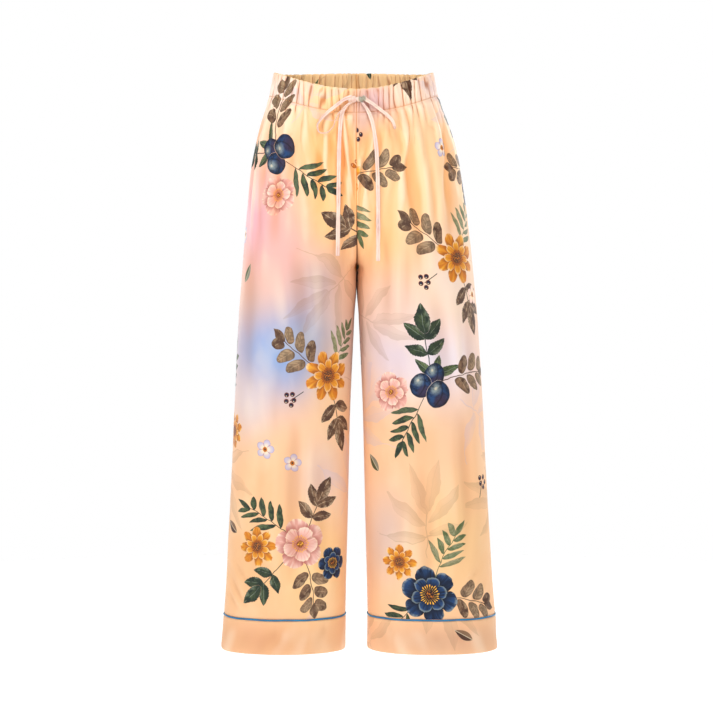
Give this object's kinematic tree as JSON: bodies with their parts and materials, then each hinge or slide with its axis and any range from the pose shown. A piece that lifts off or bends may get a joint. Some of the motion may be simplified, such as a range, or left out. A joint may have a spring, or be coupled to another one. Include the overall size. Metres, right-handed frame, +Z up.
{
  "type": "pyjama trousers, worn form, hollow",
  "caption": "Wide-leg satin pyjama trousers in hollow worn form: gathered casing waist, drawstring bow, piped hem bands.",
  "frame": {"origin": "centre of the waist, level with the middle of the casing at the side seams", "axes": "+Z up, front of the garment faces -Y, +X to the wearer's left; the front and back centre seams lie at x = 0 and the side seams at y = 0"},
  "size_m": [0.4943, 0.2483, 1.027],
  "materials": {
    "leg_satin": null,
    "band_satin": "doubled satin hem band",
    "piping_satin": "blue satin covered cord",
    "tie_satin": "pale blush satin tie"
  },
  "bodies": {
    "root": {"front_leg_right": "leg_satin", "front_leg_left": "leg_satin", "back_leg_right": "leg_satin", "back_leg_left": "leg_satin", "hem_band_right": "band_satin", "hem_band_left": "band_satin", "piping_right": "piping_satin", "piping_left": "piping_satin", "tie_knot": "tie_satin", "tie_loop_right": "tie_satin", "tie_loop_left": "tie_satin", "tie_tail_right": "tie_satin", "tie_tail_left": "tie_satin"}
  },
  "joints": []
}
